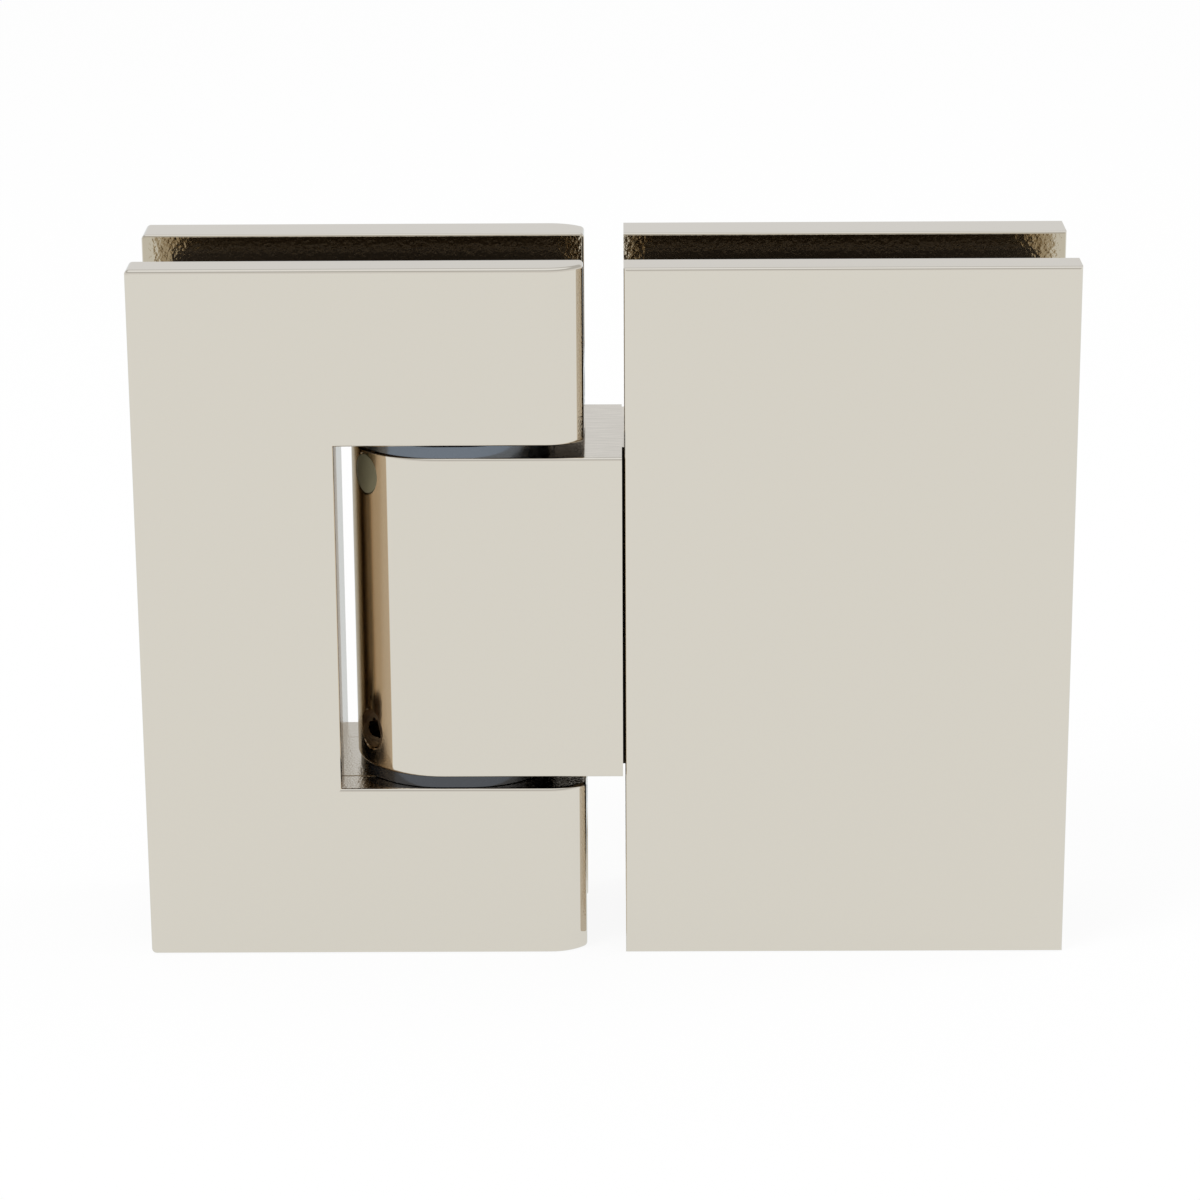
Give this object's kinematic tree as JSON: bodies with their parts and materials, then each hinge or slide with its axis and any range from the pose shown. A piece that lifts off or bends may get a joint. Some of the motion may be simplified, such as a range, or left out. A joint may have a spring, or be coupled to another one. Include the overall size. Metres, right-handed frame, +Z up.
{
  "type": "glass shower door hinge",
  "caption": "Glass-to-glass shower door hinge: a door leaf with a square cut-out swings about the knuckle of a fixed leaf, each leaf clamping a pane between a front and a back plate.",
  "frame": {"origin": "bottom of the leaves, midway along the hinge and midway through its thickness", "axes": "+X along the leaves from the door leaf to the fixed leaf, +Y from the front to the back, +Z up along the pin"},
  "size_m": [0.117, 0.026, 0.09],
  "materials": {
    "polished_nickel": "polished",
    "stainless_steel": "satin",
    "blackened_steel": "satin",
    "spring_steel": "satin",
    "grey_nylon": "satin",
    "bearing_bronze": "satin",
    "black_rubber": "matte"
  },
  "bodies": {
    "fixed_leaf": {"fixed_back_body": "polished_nickel", "fixed_front_plate": "polished_nickel", "fixed_front_gasket": "black_rubber", "fixed_back_gasket": "black_rubber", "fixed_clamp_screws": "stainless_steel", "lower_bush": "bearing_bronze", "upper_bush": "bearing_bronze", "lower_thrust_washer": "grey_nylon", "upper_thrust_washer": "grey_nylon", "bush_set_screws": "blackened_steel", "nose_plug": "grey_nylon", "spring_retainer": "stainless_steel", "retainer_screws": "stainless_steel", "lower_detent_spring": "spring_steel", "upper_detent_spring": "spring_steel"},
    "door_leaf": {"door_back_body": "polished_nickel", "door_front_plate": "polished_nickel", "door_front_gasket": "black_rubber", "door_back_gasket": "black_rubber", "door_clamp_screws": "stainless_steel", "pivot_pin": "stainless_steel", "pin_set_screws": "blackened_steel"},
    "detent": {"detent_block": "stainless_steel"}
  },
  "joints": [
    {"name": "door_swing", "type": "hinge", "parent": "fixed_leaf", "child": "door_leaf", "pos_m": [-0.019, 0, 0.045], "axis": [0, 0, 1], "range_deg": [-90, 90]},
    {"name": "detent_slide", "type": "slide", "parent": "fixed_leaf", "child": "detent", "axis": [1, 0, 0], "range_m": [0, 0.0005], "stiffness_N_per_m": 2000, "deforming": ["lower_detent_spring", "upper_detent_spring"]}
  ]
}
